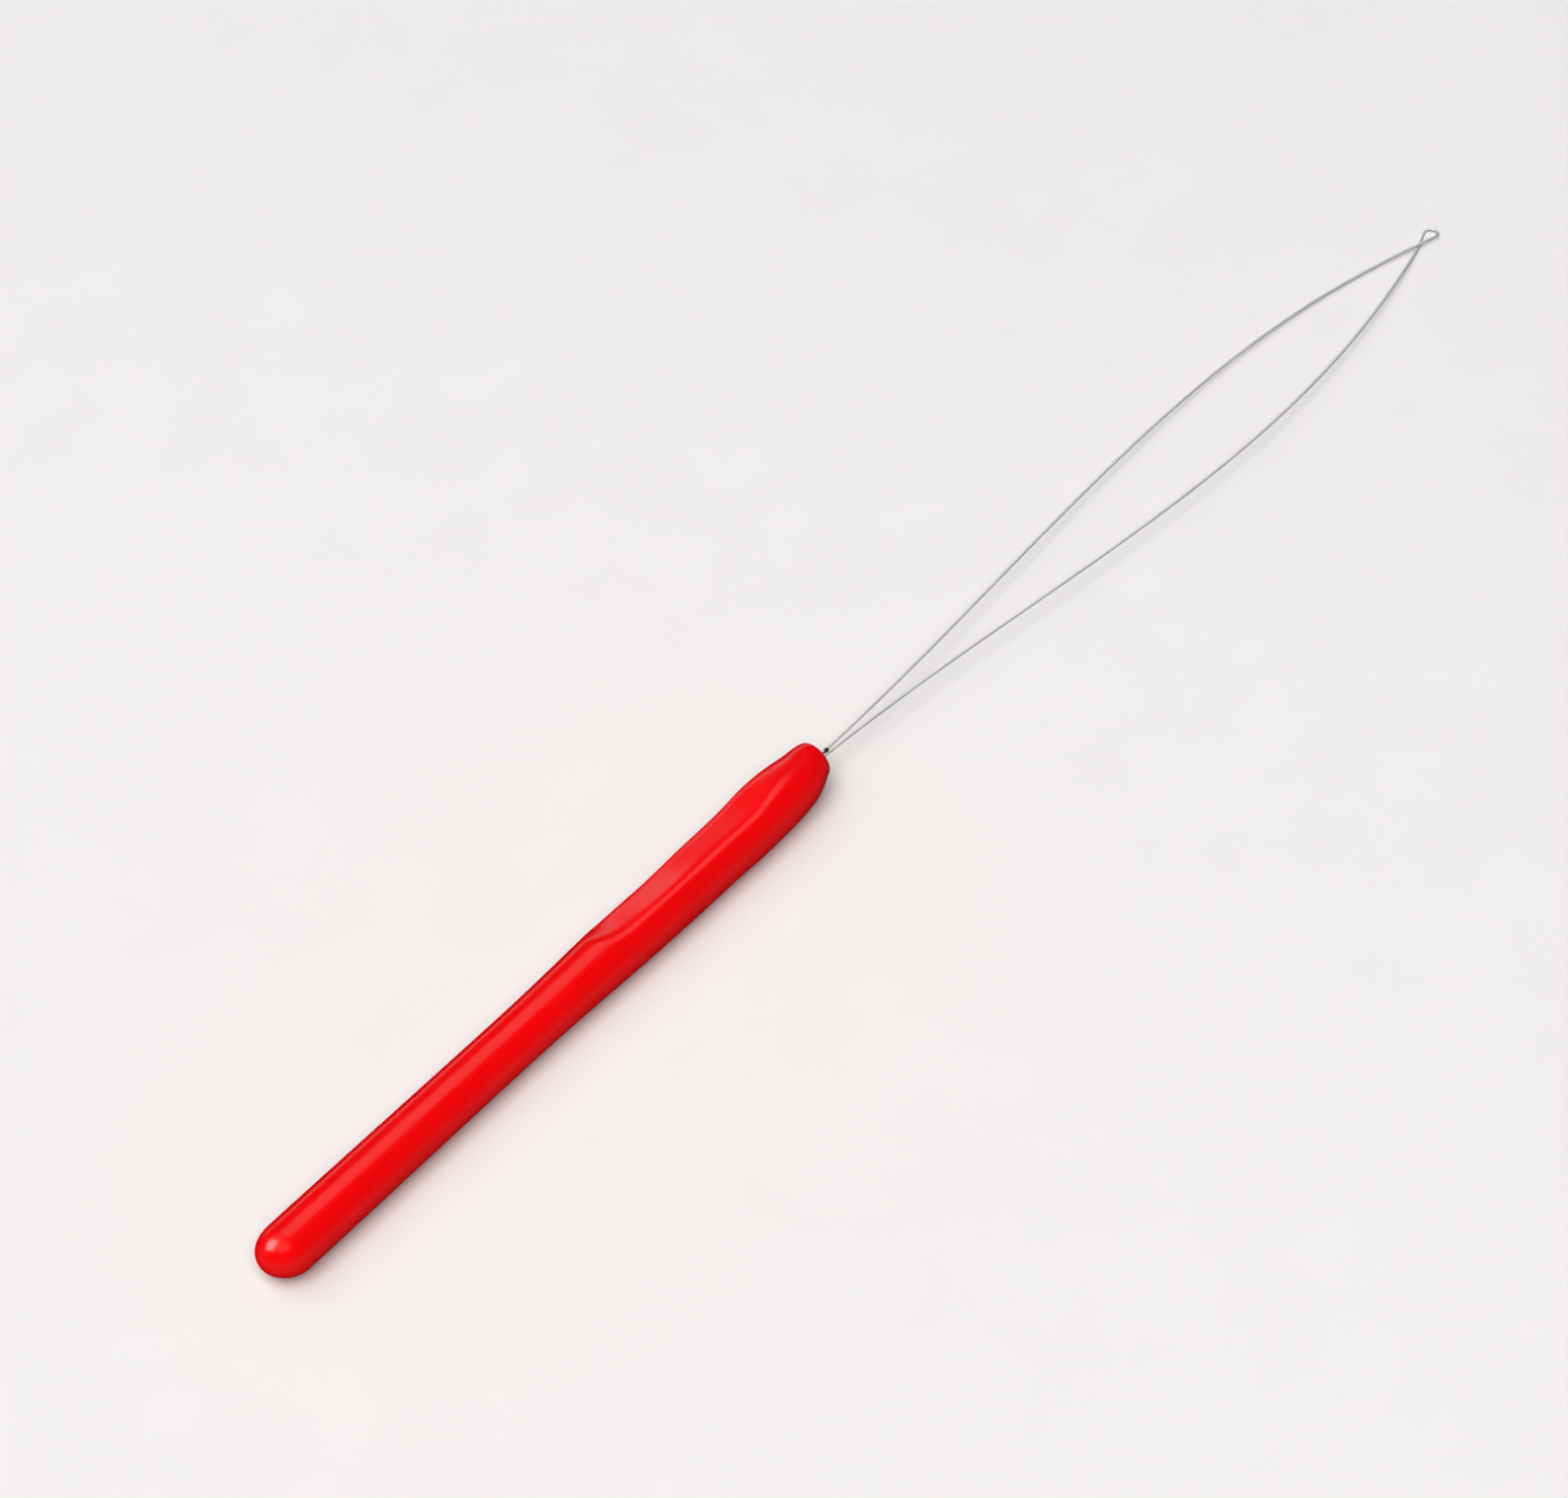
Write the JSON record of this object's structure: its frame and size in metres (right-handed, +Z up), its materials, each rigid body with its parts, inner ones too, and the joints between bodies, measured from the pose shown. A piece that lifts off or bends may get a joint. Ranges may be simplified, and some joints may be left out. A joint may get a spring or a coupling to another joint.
{
  "type": "bead threader tool",
  "caption": "Slim moulded handle with a thumb dish and a blunt nose that holds a long bowed spring-wire loop ending in a small crossed eye, for pulling strands or thread through beads.",
  "frame": {"origin": "middle of the bounding box, on the table that the tool lies on", "axes": "+X along the tool from the handle's butt to the loop's eye, +Z up from the table, and the thumb dish turned towards +Y and up"},
  "size_m": [0.2274, 0.0124, 0.0079],
  "materials": {
    "handle_plastic": "glossy injection-moulded red plastic",
    "spring_wire": "drawn bare spring steel",
    "adhesive": "set clear adhesive, dark in the bore"
  },
  "bodies": {
    "root": {"handle": "handle_plastic", "wire_loop": "spring_wire", "adhesive_plug": "adhesive"}
  },
  "joints": []
}
